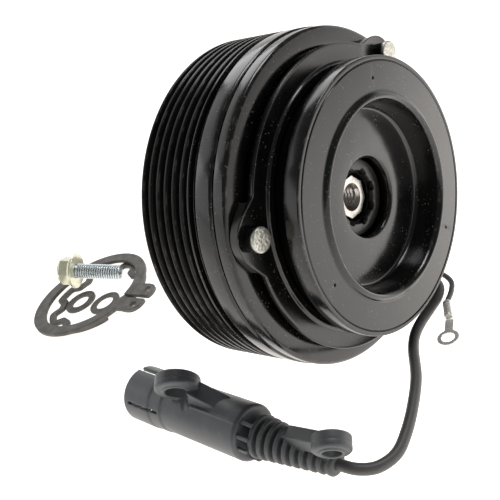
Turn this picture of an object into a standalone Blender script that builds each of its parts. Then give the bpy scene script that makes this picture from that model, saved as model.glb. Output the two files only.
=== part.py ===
"""Electromagnetic clutch of a car air-conditioning compressor, with its leads, connector and loose hardware.

The clutch axis runs along Y, front towards -Y, and the clutch stands on its pulley on the floor (Z = 0).
Depths are measured along the axis from the front face of the disc, towards the back. All sizes are in mm.
"""

import math

import bmesh
import bpy
from mathutils import Matrix, Vector

MM = 0.001

# Driving sizes
PULLEY_R = 55.8
RIB_PITCH = 3.56  # the standard PK belt section
AIR_GAP = 0.6
DISC_R = 44.0
BEARING = (15.0, 26.0, 22.0)  # bore radius, outer radius and width of a 30 x 52 x 22 bearing
CABLE_D = 3.8
GROUND_D = 2.0

# Where the clutch axis passes the floor, from the origin under the middle of the whole kit
AXIS_X, FRONT_Y = 0.0, -111.94
AXIS_Z = PULLEY_R

# Depths along the axis
LIP_FRONT = -1.6
CUP_FLOOR = (7.3, 9.4)
DRIVER_PLATE = (12.0, 13.8)
ARMATURE = (16.6, 22.0)
DRUM_FRONT = ARMATURE[1] + AIR_GAP
DRUM_BACK = 29.2
RIM_CREST = 32.2
FIRST_CREST = 35.4
RIB_GROOVES = 5
PULLEY_BACK = 54.0
BEARING_FRONT = 27.3
COIL = (32.0, 54.2)
COIL_PLATE = (54.5, 56.7)

EAR_ANGLES = (38.7, 158.7, 278.7)
PLATE_R = 49.4
RIVET_RING_R = 49.9
BALLS = 9
BALL_R = 3.1
BALL_RING_R = 20.5

FINE, MEDIUM, COARSE = 48, 36, 16  # steps round a turned piece


def clear_scene():
    for item in list(bpy.data.objects):
        bpy.data.objects.remove(item, do_unlink=True)


def finish(name, colour, roughness, metallic):
    found = bpy.data.materials.get(name)
    if found:
        return found
    made = bpy.data.materials.new(name)
    made.use_nodes = True
    shader = made.node_tree.nodes["Principled BSDF"]
    shader.inputs["Base Color"].default_value = (*colour, 1)
    shader.inputs["Roughness"].default_value = roughness
    shader.inputs["Metallic"].default_value = metallic
    made.diffuse_color = (*colour, 1)
    return made


def black_steel():
    return finish("black_steel", (0.035, 0.034, 0.033), 0.42, 0.3)


def bare_steel():
    return finish("bare_steel", (0.55, 0.55, 0.54), 0.35, 1.0)


def phosphated_steel():
    return finish("phosphated_steel", (0.16, 0.145, 0.13), 0.6, 0.6)


def zinc_steel():
    return finish("zinc_steel", (0.72, 0.7, 0.5), 0.3, 1.0)


def black_plastic():
    return finish("black_plastic", (0.05, 0.052, 0.052), 0.55, 0.0)


def black_rubber():
    return finish("black_rubber", (0.025, 0.026, 0.027), 0.5, 0.0)


def copper():
    return finish("copper", (0.7, 0.33, 0.2), 0.35, 1.0)


def resin():
    return finish("resin", (0.08, 0.05, 0.03), 0.4, 0.0)


def tinned():
    return finish("tinned", (0.7, 0.7, 0.68), 0.3, 1.0)


def add_object(name, data, material, parent=None, matrix=None):
    made = bpy.data.objects.new(name, data)
    bpy.context.scene.collection.objects.link(made)
    data.materials.append(material)
    made.parent = parent
    if matrix is not None:
        made.matrix_local = matrix
    return made


def add_empty(name, place):
    made = bpy.data.objects.new(name, None)
    bpy.context.scene.collection.objects.link(made)
    made.location = [value * MM for value in place]
    return made


def mesh_from(name, bm):
    bmesh.ops.recalc_face_normals(bm, faces=bm.faces)
    data = bpy.data.meshes.new(name)
    bm.to_mesh(data)
    bm.free()
    return data


def turned(name, profile, material, parent=None, steps=MEDIUM, matrix=None, shape=None):
    """Turn a closed profile of (radius, depth) about local Y. shape(radius, angle) may change a radius."""
    bm = bmesh.new()
    points = [bm.verts.new((radius * MM, depth * MM, 0)) for radius, depth in profile]
    edges = [bm.edges.new((a, b)) for a, b in zip(points, points[1:] + points[:1])]
    bmesh.ops.spin(
        bm, geom=points + edges, cent=(0, 0, 0), axis=(0, 1, 0), dvec=(0, 0, 0),
        angle=2 * math.pi, steps=steps, use_merge=True, use_duplicate=False,
    )
    bmesh.ops.remove_doubles(bm, verts=bm.verts, dist=0.002 * MM)
    on_axis = [edge for edge in bm.edges if all(math.hypot(v.co.x, v.co.z) < 1e-7 for v in edge.verts)]
    bmesh.ops.delete(bm, geom=on_axis, context="EDGES")
    if shape:
        for vertex in bm.verts:
            radius = math.hypot(vertex.co.x, vertex.co.z)
            if radius < 1e-7:
                continue
            angle = math.degrees(math.atan2(vertex.co.z, vertex.co.x))
            ratio = shape(radius / MM, angle) * MM / radius
            vertex.co.x *= ratio
            vertex.co.z *= ratio
    return add_object(name, mesh_from(name, bm), material, parent, matrix)


def ring(name, inner, outer, front, back, material, parent=None, steps=MEDIUM, matrix=None):
    profile = [(inner, front), (outer, front), (outer, back), (inner, back)]
    return turned(name, profile, material, parent, steps, matrix)


def plate(name, loops, thickness, material, parent=None, matrix=None):
    """A flat sheet in local XY: the first loop is its outline, the others are holes."""
    data = bpy.data.curves.new(name, "CURVE")
    data.dimensions = "2D"
    data.fill_mode = "BOTH"
    data.extrude = thickness / 2 * MM
    for loop in loops:
        spline = data.splines.new("POLY")
        spline.points.add(len(loop) - 1)
        for point, (x, y) in zip(spline.points, loop):
            point.co = (x * MM, y * MM, 0, 1)
        spline.use_cyclic_u = True
    return add_object(name, data, material, parent, matrix)


def prisms(name, outlines, front, back, parent):
    """Outlines in the clutch's XZ plane, run from one depth to the other."""
    bm = bmesh.new()
    for outline in outlines:
        face = bm.faces.new([bm.verts.new((x * MM, front * MM, z * MM)) for x, z in outline])
        run = bmesh.ops.extrude_face_region(bm, geom=[face])["geom"]
        moved = [item for item in run if isinstance(item, bmesh.types.BMVert)]
        bmesh.ops.translate(bm, vec=(0, (back - front) * MM, 0), verts=moved)
    return add_object(name, mesh_from(name, bm), black_steel(), parent)


def hide(cutter):
    cutter.hide_render = True
    cutter.display_type = "WIRE"
    return cutter


def wire(name, route, diameter, material, parent=None, steps=3):
    data = bpy.data.curves.new(name, "CURVE")
    data.dimensions = "3D"
    data.bevel_depth = diameter / 2 * MM
    data.bevel_resolution = steps
    data.use_fill_caps = True
    spline = data.splines.new("POLY")
    spline.points.add(len(route) - 1)
    for point, place in zip(spline.points, route):
        point.co = (*[value * MM for value in place], 1)
    return add_object(name, data, material, parent)


def arc(radius, start, end, steps, centre=(0, 0)):
    turn = [math.radians(start + (end - start) * i / steps) for i in range(steps + 1)]
    return [(centre[0] + radius * math.cos(a), centre[1] + radius * math.sin(a)) for a in turn]


def circle(radius, centre=(0, 0), steps=COARSE):
    return arc(radius, 0, 360, steps, centre)[:-1]


def smooth_route(points, per_span=6):
    """A Catmull-Rom curve through hand-set points."""
    ends = [points[0], *points, points[-1]]
    route = []
    for a, b, c, d in zip(ends, ends[1:], ends[2:], ends[3:]):
        a, b, c, d = (Vector(p) for p in (a, b, c, d))
        for i in range(per_span):
            t = i / per_span
            route.append(0.5 * (
                2 * b + (c - a) * t + (2 * a - 5 * b + 4 * c - d) * t * t + (3 * b - a - 3 * c + d) * t ** 3
            ))
    return [*route, Vector(points[-1])]


def along(start, end, roll=0.0):
    """A placing whose local Y runs from start to end, turned by roll degrees about it."""
    start, end = Vector(start) * MM, Vector(end) * MM
    turn = (end - start).to_track_quat("Y", "Z").to_matrix().to_4x4()
    return Matrix.Translation(start) @ turn @ Matrix.Rotation(math.radians(roll), 4, "Y")


def flat_on_floor(x, y, bottom, thickness, heading):
    place = Matrix.Translation((x * MM, y * MM, (bottom + thickness / 2) * MM))
    return place @ Matrix.Rotation(math.radians(heading), 4, "Z")


def polygon_radius(flat_radius, sides, angle, turn=0.0):
    step = 360 / sides
    off = (angle - turn + step / 2) % step - step / 2
    return flat_radius / math.cos(math.radians(off))


# Pulley and its bearing


def rib_profile():
    """The pulley's outside from the drum to the back flange."""
    crest, flat, depth = 0.65, 0.1, 2.85
    outside = [
        (PULLEY_R - 0.7, DRUM_FRONT), (PULLEY_R, DRUM_FRONT + 0.7), (PULLEY_R, DRUM_BACK),
        (PULLEY_R - 3.2, DRUM_BACK + 0.5), (PULLEY_R - 3.2, DRUM_BACK + 1.4),
        (PULLEY_R - 1.2, DRUM_BACK + 1.6), (PULLEY_R - 1.2, DRUM_BACK + 2.1),
        (PULLEY_R - 3.0, DRUM_BACK + 2.2), (PULLEY_R - 3.0, RIM_CREST - 0.4),
        (PULLEY_R, RIM_CREST - 0.2), (PULLEY_R, RIM_CREST + 0.5),
        (PULLEY_R - 2.0, RIM_CREST + 1.1), (PULLEY_R - 2.0, RIM_CREST + 1.7),
        (PULLEY_R, FIRST_CREST - 0.9),
    ]
    for i in range(RIB_GROOVES):
        middle = FIRST_CREST + (i + 0.5) * RIB_PITCH
        half = RIB_PITCH / 2 - crest
        outside += [
            (PULLEY_R, middle - half), (PULLEY_R - depth, middle - flat),
            (PULLEY_R - depth, middle + flat), (PULLEY_R, middle + half),
        ]
    return [*outside, (PULLEY_R, PULLEY_BACK - 0.4), (PULLEY_R - 0.4, PULLEY_BACK)]


def build_pulley(parent):
    seat = BEARING[1] + 0.1
    seat_end = BEARING_FRONT + BEARING[2]
    slot_front, slot_back = DRUM_FRONT - 3, DRUM_FRONT + 9
    lip_r, tube_r, recess_r = 24.2, 29.4, 33.0
    wall_back, tube_end, cavity_r = 29.0, 52.6, 46.6
    inside = [
        (cavity_r, PULLEY_BACK), (cavity_r, wall_back), (tube_r, wall_back), (tube_r, tube_end),
        (seat, tube_end), (seat, seat_end + 1.7), (seat + 1.2, seat_end + 1.7), (seat + 1.2, seat_end + 0.2),
        (seat, seat_end + 0.2), (seat, BEARING_FRONT - 0.1), (lip_r, BEARING_FRONT - 0.1),
        (lip_r, DRUM_FRONT + 2.0), (recess_r, DRUM_FRONT + 2.0), (recess_r, DRUM_FRONT),
    ]
    pulley = turned("pulley", rib_profile() + inside, black_steel(), parent, FINE)
    slots = prisms("slot_cutter", [friction_slot(60 * i) for i in range(6)], slot_front, slot_back, parent)
    combine(pulley, "DIFFERENCE", slots)


def friction_slot(heading, inner=38.0, outer=40.4, half_turn=22):
    return arc(outer, heading - half_turn, heading + half_turn, 5) + \
        arc(inner, heading + half_turn, heading - half_turn, 5)


def groove(race_r, middle, facing):
    """The ball track of a race, as points of its profile. facing is -1 on the inner race, 1 on the outer."""
    track_r = BALL_R + 0.2
    reach = math.degrees(math.acos(abs(race_r - BALL_RING_R) / track_r))
    base = 180 if facing < 0 else 0
    points = arc(track_r, base - reach, base + reach, 4, (BALL_RING_R, middle))
    return sorted(points, key=lambda point: point[1])


def build_bearing(stator, pulley, cage):
    inner, outer, width = BEARING
    front, back = BEARING_FRONT, BEARING_FRONT + width
    middle = (front + back) / 2
    inner_top, outer_low = 18.3, 22.7
    turned(
        "bearing_inner_race",
        [(inner, front), (inner_top, front), *groove(inner_top, middle, -1), (inner_top, back),
         (inner, back)],
        bare_steel(), stator,
    )
    turned(
        "bearing_outer_race",
        [(outer, back), (outer_low, back), *reversed(groove(outer_low, middle, 1)), (outer_low, front),
         (outer, front)],
        bare_steel(), pulley,
    )
    for name, depth in (("bearing_seal_front", front + 0.5), ("bearing_seal_rear", back - 1.7)):
        ring(name, inner_top + 0.25, outer_low - 0.15, depth, depth + 1.2, black_rubber(), pulley)
    gap, inside, outside = 9, 23.6, outer + 1.0
    outline = arc(outside, gap, 360 - gap, 40) + arc(inside, 360 - gap, gap, 40)
    circlip = (back + 0.35, back + 1.55)
    plate("bearing_circlip", [outline], circlip[1] - circlip[0], phosphated_steel(), pulley,
          Matrix.Translation((0, sum(circlip) / 2 * MM, 0)) @ Matrix.Rotation(math.pi / 2, 4, "X"))
    ring("ball_cage", 19.4, 21.6, middle + BALL_R + 0.3, middle + BALL_R + 1.5, bare_steel(), cage)
    for i in range(BALLS):
        angle = math.radians(360 * i / BALLS)
        bm = bmesh.new()
        bmesh.ops.create_icosphere(bm, subdivisions=2, radius=BALL_R * MM)
        place = (BALL_RING_R * math.cos(angle) * MM, middle * MM, BALL_RING_R * math.sin(angle) * MM)
        add_object(f"ball_{i + 1}", mesh_from("ball", bm), bare_steel(), cage, Matrix.Translation(place))


# Hub and armature


def build_front_disc(parent):
    sheet, rim_back, groove_r = 2.2, 5.5, 42.4
    lip_out, lip_in, floor_r, hole_r = 32.8, 30.2, 28.8, 12.7
    profile = [
        (hole_r + 0.6, CUP_FLOOR[0]), (floor_r - 1, CUP_FLOOR[0]), (floor_r, CUP_FLOOR[0] - 0.8),
        (lip_in, LIP_FRONT + 1.2), (lip_in + 0.5, LIP_FRONT + 0.2), (31.4, LIP_FRONT),
        (lip_out - 0.4, LIP_FRONT + 0.6), (lip_out, 0.4), (lip_out + 0.6, 0),
        (groove_r - 0.4, 0), (groove_r, 0.6), (groove_r + 0.4, 0), (DISC_R - 0.7, 0), (DISC_R, 0.7),
        (DISC_R, rim_back), (DISC_R - 1.4, rim_back), (DISC_R - 1.4, sheet + 0.6), (DISC_R - 2, sheet),
        (lip_out + 0.2, sheet), (lip_in + 0.6, CUP_FLOOR[1] - 0.6), (lip_in, CUP_FLOOR[1]),
        (hole_r, CUP_FLOOR[1]), (hole_r, CUP_FLOOR[0] + 1.2),
    ]
    turned("front_disc", profile, black_steel(), parent, FINE)


def build_hub(parent):
    build_front_disc(parent)
    turned("rubber_damper", [(34.6, 2.6), (40.6, 2.6), (40.6, 11.0), (40.0, 13.6), (34.6, 13.6)],
           black_rubber(), parent)
    nose, recess, well, bore, pilot = 7.2, 13.4, 13.2, 3.4, 6.6
    nose_front, nose_back, well_floor = 14.0, 16.9, 17.4
    profile = [
        (bore + 0.9, nose_front), (nose, nose_front), (nose, well_floor), (well, well_floor),
        (recess, 9.8), (31.0, 9.8), (33.4, 3.0), (34.2, 3.0), (34.2, 12.4), (15.0, 12.4), (14.0, 22.0),
        (11.0, 23.0), (11.0, 40.0), (pilot, 40.0), (pilot, 23.0), (bore, 22.0), (bore, nose_front + 0.9),
    ]

    def nose_shape(radius, angle):
        if abs(radius - nose) < 0.01:
            return polygon_radius(nose * math.cos(math.pi / 8), 8, angle)
        return radius

    turned("hub_boss", profile, bare_steel(), parent, MEDIUM, shape=nose_shape)

    lobe_r = 12.4

    def lobes(radius, angle):
        if abs(radius - lobe_r) < 0.01:
            return lobe_r - 0.5 + 0.45 * math.cos(math.radians(6 * angle))
        return radius

    turned("lock_ring", [(8.4, 12.2), (9.0, 11.6), (lobe_r, 11.6), (lobe_r, nose_back), (8.4, nose_back)],
           black_steel(), parent, MEDIUM, shape=lobes)


def driver_outline(radius, angle, plate_r=PLATE_R, tip_r=55.6, half_turn=14.0):
    """The driver plate's edge: a round plate with three ears."""
    if abs(radius - plate_r) > 0.01:
        return radius
    off = min(abs((angle - ear + 180) % 360 - 180) for ear in EAR_ANGLES)
    if off >= half_turn:
        return plate_r
    return plate_r + (tip_r - plate_r) * (0.5 + 0.5 * math.cos(math.pi * off / half_turn)) ** 0.6


def pad_outline(heading, inner=47.0, half_turn=12.0, inset=0.4):
    """The pad that holds an ear off the armature: the ear's own outline, a little smaller."""
    steps = 12
    turns = [heading - half_turn + 2 * half_turn * i / steps for i in range(steps + 1)]
    outer = [(driver_outline(PLATE_R, turn) - inset) for turn in turns]
    edge = [(r * math.cos(math.radians(t)), r * math.sin(math.radians(t))) for r, t in zip(outer, turns)]
    return edge + arc(inner, heading + half_turn, heading - half_turn, 4)


def build_armature(parent):
    front, back = ARMATURE
    rim, land = PULLEY_R - 0.4, 48.7
    profile = [
        (31.0, front + 2.0), (land, front + 2.0), (land, front), (rim - 2.6, front + 0.25),
        (rim - 0.6, front + 0.8), (rim, front + 1.5), (rim, back), (34.0, back), (31.0, back - 0.6),
    ]
    turned("armature_plate", profile, black_steel(), parent, FINE)
    step_r = 43.4
    turned(
        "driver_plate",
        [(41.2, 11.2), (step_r, 11.2), (step_r + 0.3, DRIVER_PLATE[0]), (PLATE_R, DRIVER_PLATE[0]),
         (PLATE_R, DRIVER_PLATE[1]), (41.2, DRIVER_PLATE[1])],
        black_steel(), parent, 120, shape=driver_outline,
    )
    front_face = DRIVER_PLATE[0] - 2.9
    for i, angle in enumerate(EAR_ANGLES):
        turn = math.radians(angle)
        centre = (RIVET_RING_R * math.cos(turn) * MM, 0, RIVET_RING_R * math.sin(turn) * MM)
        place = Matrix.Translation(centre)
        head = [(0, front_face), (3.0, front_face), (3.8, front_face + 0.6), (3.8, front_face + 1.6),
                (3.2, front_face + 1.9), (3.2, DRIVER_PLATE[0] - 0.3), (0, DRIVER_PLATE[0] - 0.3)]
        turned(f"rivet_{i + 1}", head, bare_steel(), parent, COARSE, place)
        prisms(f"ear_pad_{i + 1}", [pad_outline(angle)], DRIVER_PLATE[1] + 0.3, ARMATURE[0] - 0.3, parent)


# Field coil


def build_coil(parent):
    outer, inner, wall = 44.6, 31.4, 1.8
    front, back = COIL
    turned(
        "coil_housing",
        [(inner, front), (inner + wall, front), (inner + wall, back - 2.4), (outer - wall, back - 2.4),
         (outer - wall, front), (outer, front), (outer, back), (inner, back)],
        black_steel(), parent,
    )
    ring("coil_winding", inner + wall + 0.6, outer - wall - 0.6, front + 3.6, back - 3.2, copper(), parent)
    ring("coil_resin_cap", inner + wall + 0.3, outer - wall - 0.3, front + 0.6, front + 3.2, resin(), parent)
    depth, thickness = sum(COIL_PLATE) / 2, COIL_PLATE[1] - COIL_PLATE[0]
    holes = [circle(2.7, arc(38, turn, turn, 1)[0]) for turn in (30, 150, 270)]
    pin_place = arc(38, 90, 90, 1)[0]
    lay = Matrix.Rotation(math.pi / 2, 4, "X")
    plate("coil_plate", [circle(outer, steps=MEDIUM), circle(inner, steps=MEDIUM), *holes], thickness,
          phosphated_steel(), parent, Matrix.Translation((0, depth * MM, 0)) @ lay)
    pin = [(0, COIL_PLATE[1] + 0.1), (2.0, COIL_PLATE[1] + 0.1), (2.0, COIL_PLATE[1] + 2.6),
           (1.4, COIL_PLATE[1] + 3.2), (0, COIL_PLATE[1] + 3.2)]
    turned("locating_pin", pin, bare_steel(), parent, COARSE,
           Matrix.Translation((pin_place[0] * MM, 0, pin_place[1] * MM)))


# Loose hardware, laid behind the clutch. Floor places are from the axis point under the disc's front.

BIG_RING, BIG_RING_HEADING = (-9.2, 194.0), -88
WAVY_RING = (-8.9, 189.6)
WAVY_ENDS = (-94, 236)
SHIMS = ((-14.0, 198.6, 8.2, 1.2), (-12.1, 180.4, 8.0, 0.9))  # x, y, radius and thickness
SHIM_HOLE_R = 4.6
BOLT_FLANGE, BOLT_TIP = (-4.2, 202.9, 12.7), (5.8, 182.4, 5.3)


def build_external_ring(parent):
    outer, inner, thinning, slit, hole_at, hole_r = 31.5, 24.6, 0.9, 1.0, (39.4, 5.6), 1.8
    thickness, bottom = 2.0, 2.0
    ear = [(43.2, slit), (43.8, 3.9), (42.8, 7.6), (40.2, 9.4), (35.8, 9.6)]
    base = math.degrees(math.asin(ear[-1][1] / outer))
    gap = math.degrees(math.asin(slit / (inner + 2 * thinning)))
    turns = [gap + (360 - 2 * gap) * i / 40 for i in range(41)]
    inside = []
    for turn in turns:
        radius = inner + thinning * (1 + math.cos(math.radians(turn)))
        inside.append((radius * math.cos(math.radians(turn)), radius * math.sin(math.radians(turn))))
    outline = ear + arc(outer, base, 360 - base, 40) + [(x, -y) for x, y in reversed(ear)] + inside[::-1]
    holes = [circle(hole_r, (hole_at[0], side * hole_at[1]), 12) for side in (1, -1)]
    plate("snap_ring_external", [outline, *holes], thickness, phosphated_steel(), parent,
          flat_on_floor(*BIG_RING, bottom, thickness, BIG_RING_HEADING))


def wavy_radius(turn, middle=25.2, dip=4.6, half_turn=15.0, ramp=9.0):
    """The middle of the wavy ring's strip: a circle with five flat-bottomed dips."""
    dips = [sum(WAVY_ENDS) / 2 + 48 * i for i in (-2, -1, 0, 1, 2)]
    off = min(abs((turn - dip_at + 180) % 360 - 180) for dip_at in dips)
    share = min(max((half_turn - off) / ramp, 0), 1)
    return middle - dip * (0.5 - 0.5 * math.cos(math.pi * share))


def build_wavy_ring(parent):
    half_width, thickness, steps = 1.8, 1.7, 132
    start, end = WAVY_ENDS
    middle = []
    for i in range(steps + 1):
        turn = start + (end - start) * i / steps
        radius = wavy_radius(turn)
        middle.append(Vector((radius * math.cos(math.radians(turn)), radius * math.sin(math.radians(turn)))))
    outside, inside = [], []
    for i, point in enumerate(middle):
        ahead = middle[min(i + 1, steps)] - middle[max(i - 1, 0)]
        side = Vector((ahead.y, -ahead.x)).normalized() * half_width
        outside.append((point + side)[:])
        inside.append((point - side)[:])

    def ear(turn, lean):
        """A plier ear pointing inwards at one end of the ring."""
        out = Vector((math.cos(math.radians(turn)), math.sin(math.radians(turn))))
        across = Vector((-out.y, out.x)) * lean
        corners = [(22.4, 6.4), (19.4, 5.2), (18.0, 2.4), (18.7, -0.9), (21.5, -2.3), (26.6, -1.9)]
        return [(out * r + across * s)[:] for r, s in corners], (out * 21.3 + across * 1.7)[:]

    first, first_hole = ear(start, 1)
    last, last_hole = ear(end, -1)
    skip = 6
    outline = outside[1:-1] + last[::-1] + inside[skip:-skip][::-1] + first
    plate("snap_ring_wavy", [outline, circle(1.4, first_hole, 12), circle(1.4, last_hole, 12)], thickness,
          phosphated_steel(), parent, flat_on_floor(*WAVY_RING, 0.0, thickness, 0))


def build_hardware(parent):
    build_external_ring(parent)
    build_wavy_ring(parent)
    for name, (x, y, radius, thickness) in zip(("shim_thick", "shim_thin"), SHIMS):
        loops = [circle(radius, steps=24), circle(SHIM_HOLE_R, steps=24)]
        plate(name, loops, thickness, phosphated_steel(), parent, flat_on_floor(x, y, 0.0, thickness, 0))
    build_bolt(parent)


def build_bolt(parent):
    flange_r, shank_r, corner_r = 8.9, 4.0, 7.4
    length = (Vector(BOLT_TIP) - Vector(BOLT_FLANGE)).length
    profile = [
        (0, -8.4), (corner_r - 1.2, -8.4), (corner_r, -7.4), (corner_r, -2.4), (flange_r, -1.1),
        (flange_r, 0), (shank_r, 0), (shank_r, length - 1.0), (shank_r - 0.9, length), (0, length),
    ]

    def hexagon(radius, angle):
        if abs(radius - corner_r) < 0.01:
            return polygon_radius(corner_r * math.cos(math.pi / 6), 6, angle)
        if abs(radius - corner_r + 1.2) < 0.01:
            return min(radius, polygon_radius(corner_r * math.cos(math.pi / 6), 6, angle) - 0.2)
        return radius

    turned("flange_bolt", profile, zinc_steel(), parent, COARSE, along(BOLT_FLANGE, BOLT_TIP, 12), hexagon)


# Connector and leads. Places are from the axis point on the floor under the disc's front.

MOUTH, SHELL_END, BOOT_END = (-63.0, 90.0, 10.6), (-67.0, 31.2, 10.0), (-67.0, -1.0, 6.0)
EYELET, ARM_EYELET = (-66.2, 60.0, 24.5), (-68.4, -4.2, 17.2)
EYELET_FACING = Vector((-0.83, -0.40, -0.40)).normalized()
GROMMET = (24.5, 59.2, 28.0)
GROMMET_SIZE = (12.0, 4.2, 9.0)
CABLE_ROUTE = (
    (21.5, 59.2, 23.2), (22.0, 59.7, 17.5), (23.4, 60.2, 11.6), (24.8, 58.8, 6.4), (25.6, 54.6, 3.0),
    (25.4, 48.0, 1.9), (25.0, 38.0, 1.9), (24.6, 27.0, 1.9), (24.0, 18.4, 1.9), (22.2, 12.2, 1.9),
    (18.6, 8.4, 1.9), (13.4, 6.7, 1.9), (7.0, 6.6, 1.9), (0.0, 6.6, 1.9), (-6.5, 5.6, 1.9),
    (-13.5, 2.6, 1.9), (-25.0, -4.4, 1.9), (-36.5, -9.2, 1.9), (-47.0, -12.4, 1.9), (-55.5, -13.6, 2.1),
    (-62.4, -11.6, 3.4), (-66.0, -7.2, 4.9), (-67.0, -1.4, 6.0),
)
GROUND_ROUTE = (
    (27.5, 59.2, 23.2), (28.4, 60.2, 16.5), (30.0, 60.4, 9.6), (30.9, 57.4, 4.0), (30.9, 51.4, 1.3),
    (30.6, 40.0, 1.1), (30.0, 29.0, 1.1), (29.2, 20.0, 1.1), (27.4, 12.0, 1.1), (23.6, 6.2, 1.1),
    (18.4, 3.6, 1.2), (12.0, 2.0, 1.75),
)
CRIMP_START, CRIMP_END = (11.7, 1.9, 1.75), (4.2, -2.4, 1.75)
RING_TERMINAL = (-4.6, -6.0)


def block(name, size, material, parent, matrix):
    bm = bmesh.new()
    bmesh.ops.create_cube(bm, size=MM)
    bmesh.ops.scale(bm, vec=size, verts=bm.verts)
    return add_object(name, mesh_from(name, bm), material, parent, matrix)


def combine(target, operation, *others):
    for other in others:
        step = target.modifiers.new(operation.lower(), "BOOLEAN")
        step.operation = operation
        step.object = hide(other)


def eyelet(name, centre, outer, hole, tall, parent):
    """A solid eyelet and the cutter of its hole."""
    ahead = Vector(centre) + EYELET_FACING * tall / 2
    behind = Vector(centre) - EYELET_FACING * tall / 2
    body = turned(name, [(0, 0), (outer, 0), (outer, tall), (0, tall)], black_plastic(), parent, COARSE,
                  along(ahead, behind))
    bore = turned(f"{name}_bore", [(0, -1), (hole, -1), (hole, tall + 1), (0, tall + 1)], black_plastic(),
                  parent, COARSE, along(ahead, behind))
    return body, bore


def build_connector(parent):
    length = (Vector(SHELL_END) - Vector(MOUTH)).length
    mouth_r, body_r, bore_r = 10.2, 9.5, 8.6
    collar, holder, bore_end = 14.0, 13.5, 20.0
    profile = [
        (bore_r, 0), (mouth_r, 0), (mouth_r, collar), (body_r + 0.2, collar + 1.6), (body_r, length - 3.0),
        (body_r - 2.4, length), (0, length), (0, bore_end), (bore_r, bore_end),
    ]
    place = along(MOUTH, SHELL_END)
    shell = turned("connector_shell", profile, black_plastic(), parent, 32, place)
    boss, boss_bore = eyelet("shell_boss", EYELET, 7.9, 4.0, 5.8, parent)
    foot = block("boss_foot", (4.6, 22.0, 6.0), black_plastic(), parent,
                 Matrix.Translation(Vector((-65.8, 55.0, 19.5)) * MM))
    combine(shell, "UNION", boss, foot)
    combine(shell, "DIFFERENCE", boss_bore)
    for i, turn in enumerate((100, 250)):
        turned_place = place @ Matrix.Rotation(math.radians(turn), 4, "Y")
        slot = block(f"mouth_slot_{i}", (5, 14, 1.8), black_plastic(), parent,
                     turned_place @ Matrix.Translation((mouth_r * MM, 5 * MM, 0)))
        combine(shell, "DIFFERENCE", slot)
    holder_r, holder_end = 6.2, bore_end - 0.3
    turned("terminal_holder",
           [(0, holder), (holder_r - 0.6, holder), (holder_r, holder + 0.6), (holder_r, holder_end),
            (0, holder_end)],
           black_plastic(), parent, COARSE, place)
    for i, side in enumerate((-2.2, 2.2)):
        block(f"terminal_{i + 1}", (0.8, 6.5, 2.4), tinned(), parent,
              place @ Matrix.Translation((side * MM, (holder - 3.55) * MM, 0)))


def build_boot(parent):
    length = (Vector(BOOT_END) - Vector(SHELL_END)).length
    ribs, start_r, end_r, depth, gap = 10, 7.4, 3.9, 0.9, 1.4
    profile = [(0, gap)]
    pitch = (length - gap - 0.6) / ribs
    for i in range(ribs):
        radius = start_r + (end_r - start_r) * (i + 0.5) / ribs
        at = gap + i * pitch
        profile += [(radius - depth, at), (radius, at + 0.4 * pitch)]
    profile += [(end_r - 0.6, length), (0, length)]
    boot = turned("connector_boot", profile, black_rubber(), parent, COARSE, along(SHELL_END, BOOT_END))
    ring_body, ring_bore = eyelet("arm_eyelet", ARM_EYELET, 6.0, 2.9, 5.6, parent)
    start, end = Vector((-65.6, 16.0, 11.6)), Vector((-68.2, -1.0, 16.6))
    arm = block("eyelet_arm", (5.0, (end - start).length, 5.0), black_rubber(), parent,
                along(start, end) @ Matrix.Translation((0, (end - start).length / 2 * MM, 0)))
    combine(boot, "UNION", ring_body, arm)
    combine(boot, "DIFFERENCE", ring_bore)


def build_leads(parent):
    block("lead_grommet", GROMMET_SIZE, black_rubber(), parent, Matrix.Translation(Vector(GROMMET) * MM))
    wire("lead_cable", smooth_route(CABLE_ROUTE, 2), CABLE_D, black_rubber(), parent, 1)
    wire("ground_lead", smooth_route(GROUND_ROUTE, 2), GROUND_D, black_rubber(), parent, 1)
    length = (Vector(CRIMP_END) - Vector(CRIMP_START)).length
    turned("crimp_barrel", [(0, 0), (1.5, 0), (1.65, 0.8), (1.65, length - 0.8), (1.4, length), (0, length)],
           tinned(), parent, 12, along(CRIMP_START, CRIMP_END))
    outer, hole, thickness, tongue = 3.8, 2.3, 0.8, 1.5
    reach = (Vector(CRIMP_END[:2]) - Vector(RING_TERMINAL)).length - 0.3
    toward = Vector(CRIMP_END[:2]) - Vector(RING_TERMINAL)
    open_turn = math.degrees(math.asin(tongue / outer))
    outline = [(reach, -tongue), (reach, tongue)] + arc(outer, open_turn, 360 - open_turn, COARSE)
    plate("ring_terminal", [outline, circle(hole, steps=COARSE)], thickness, tinned(), parent,
          flat_on_floor(*RING_TERMINAL, 0.3, thickness, math.degrees(math.atan2(toward.y, toward.x))))


def main():
    clear_scene()
    kit = add_empty("kit", (AXIS_X, FRONT_Y, 0))
    axis = add_empty("clutch_axis", (0, 0, AXIS_Z))
    axis.parent = kit
    joints = {}
    for name in ("pulley_joint", "cage_joint", "hub_joint", "armature_joint"):
        joints[name] = add_empty(name, (0, 0, 0))
        joints[name].parent = axis
    build_pulley(joints["pulley_joint"])
    build_bearing(axis, joints["pulley_joint"], joints["cage_joint"])
    build_hub(joints["hub_joint"])
    build_armature(joints["armature_joint"])
    build_coil(axis)
    build_hardware(kit)
    build_connector(kit)
    build_boot(kit)
    build_leads(kit)


main()
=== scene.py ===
"""Looks of the electromagnetic clutch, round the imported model.

Lengths are in mm unless said otherwise. Turned pieces are drawn about the clutch axis, from the front of the
disc: a profile point is (radius, depth), with its own rounding as a third number where it needs one.
Headings are degrees about the axis, from the right and upwards as seen from the front. Turns are the same in
radians.
"""

import math

import bmesh
import bpy
from mathutils import Matrix, Vector, noise


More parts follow.
